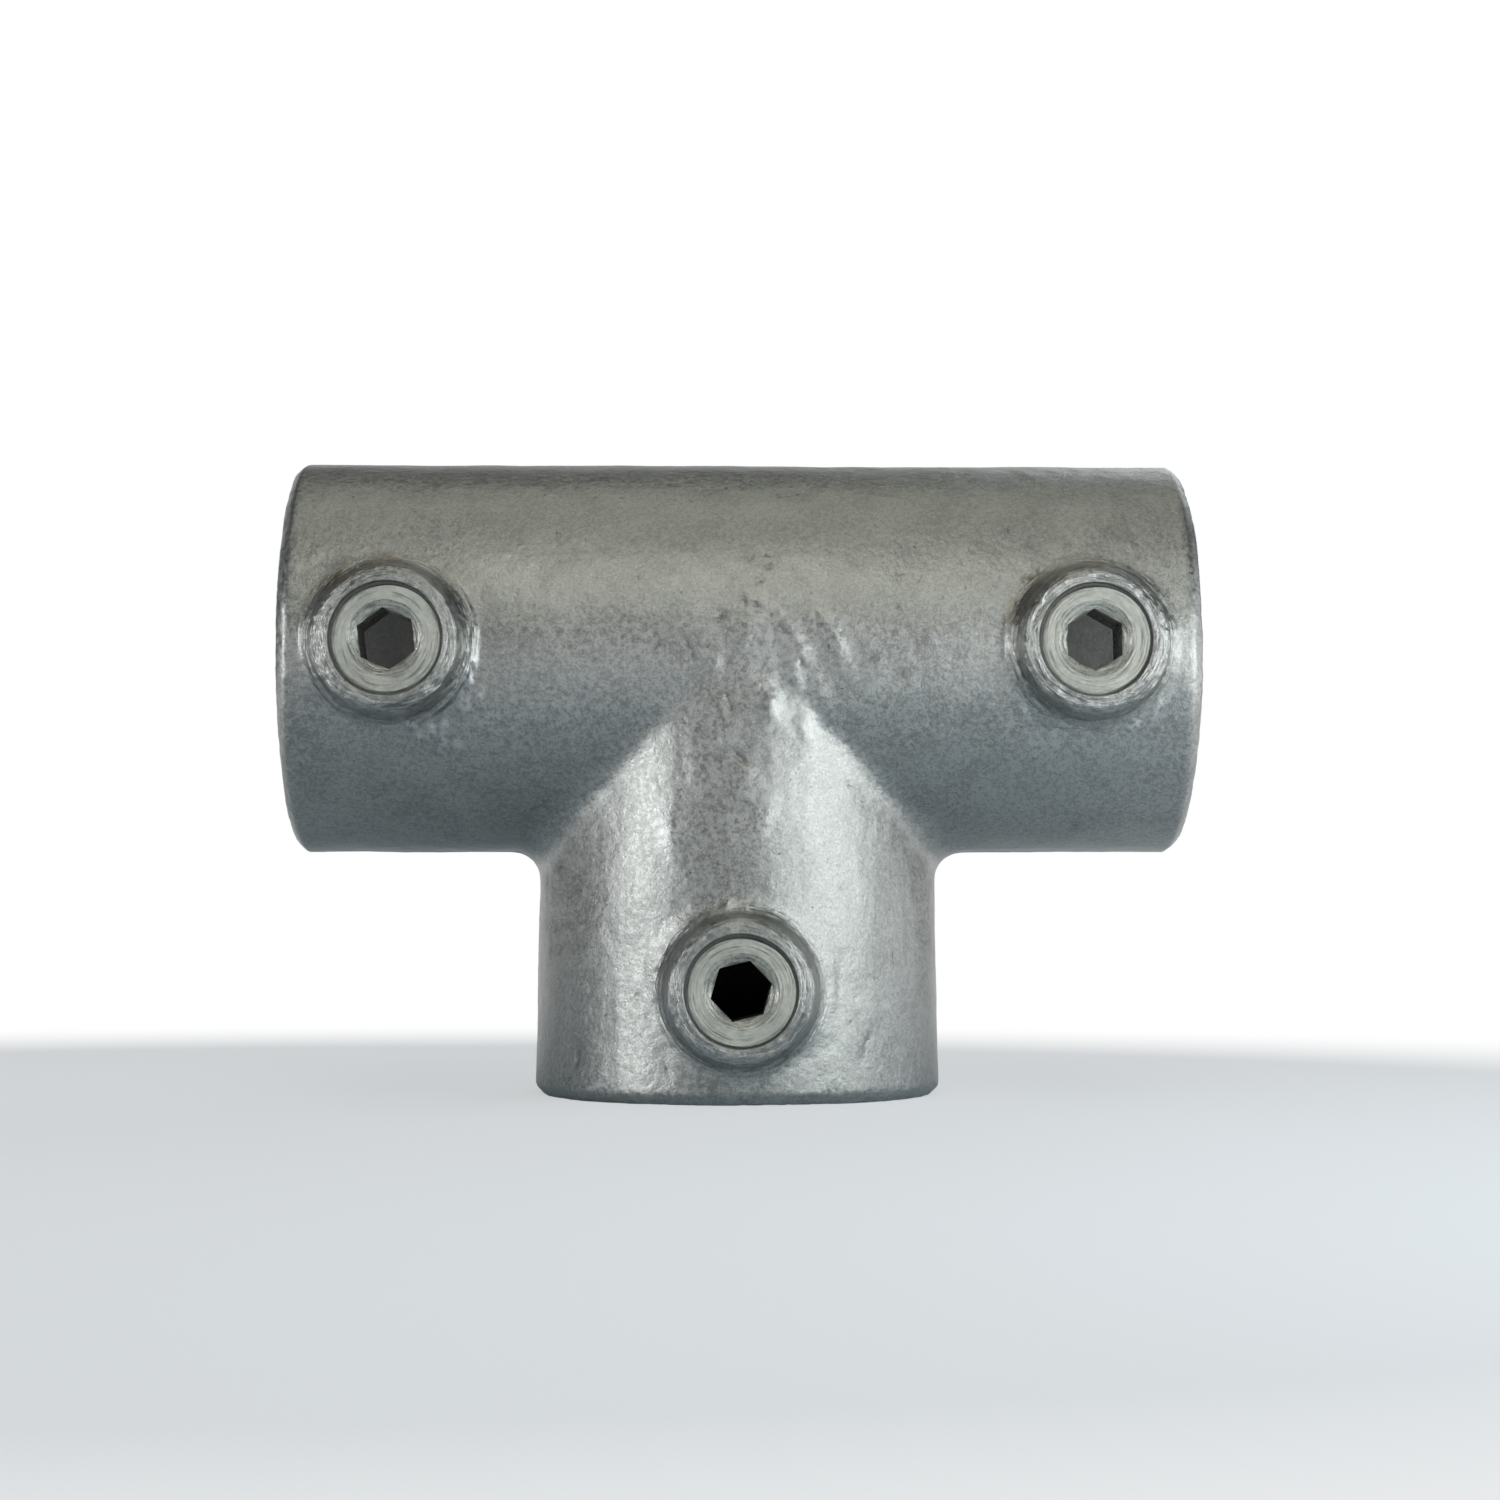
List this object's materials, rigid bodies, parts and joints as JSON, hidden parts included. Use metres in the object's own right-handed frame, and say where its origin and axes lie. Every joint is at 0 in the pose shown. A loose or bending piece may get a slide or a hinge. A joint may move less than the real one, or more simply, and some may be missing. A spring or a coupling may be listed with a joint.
{
  "type": "tube clamp tee fitting",
  "caption": "Cast tee sleeve that joins a run of round tube to a branch tube at right angles, each socket clamped by a hexagon socket set screw in a boss.",
  "frame": {"origin": "where the run's centreline meets the branch's centreline", "axes": "+X along the run sleeve, -Z down the branch sleeve and out of its mouth, -Y to the front, where the set screws are"},
  "size_m": [0.139, 0.0676, 0.0997],
  "materials": {
    "galvanised_iron": "hot-dip galvanised malleable iron, matt and mottled, with small pits and zinc runs",
    "screw_steel": "zinc-plated steel, dull satin"
  },
  "bodies": {
    "casting": {"tee_casting": "galvanised_iron"},
    "left_screw": {"set_screw_left": "screw_steel"},
    "right_screw": {"set_screw_right": "screw_steel"},
    "branch_screw": {"set_screw_branch": "screw_steel"}
  },
  "joints": [
    {"name": "left_screw_travel", "type": "slide", "parent": "casting", "child": "left_screw", "axis": [0, -1, 0], "range_m": [-0.00134, 0.00802]},
    {"name": "right_screw_travel", "type": "slide", "parent": "casting", "child": "right_screw", "axis": [0, -1, 0], "range_m": [-0.00134, 0.00802]},
    {"name": "branch_screw_travel", "type": "slide", "parent": "casting", "child": "branch_screw", "axis": [0, -1, 0], "range_m": [-0.00134, 0.00802]}
  ]
}
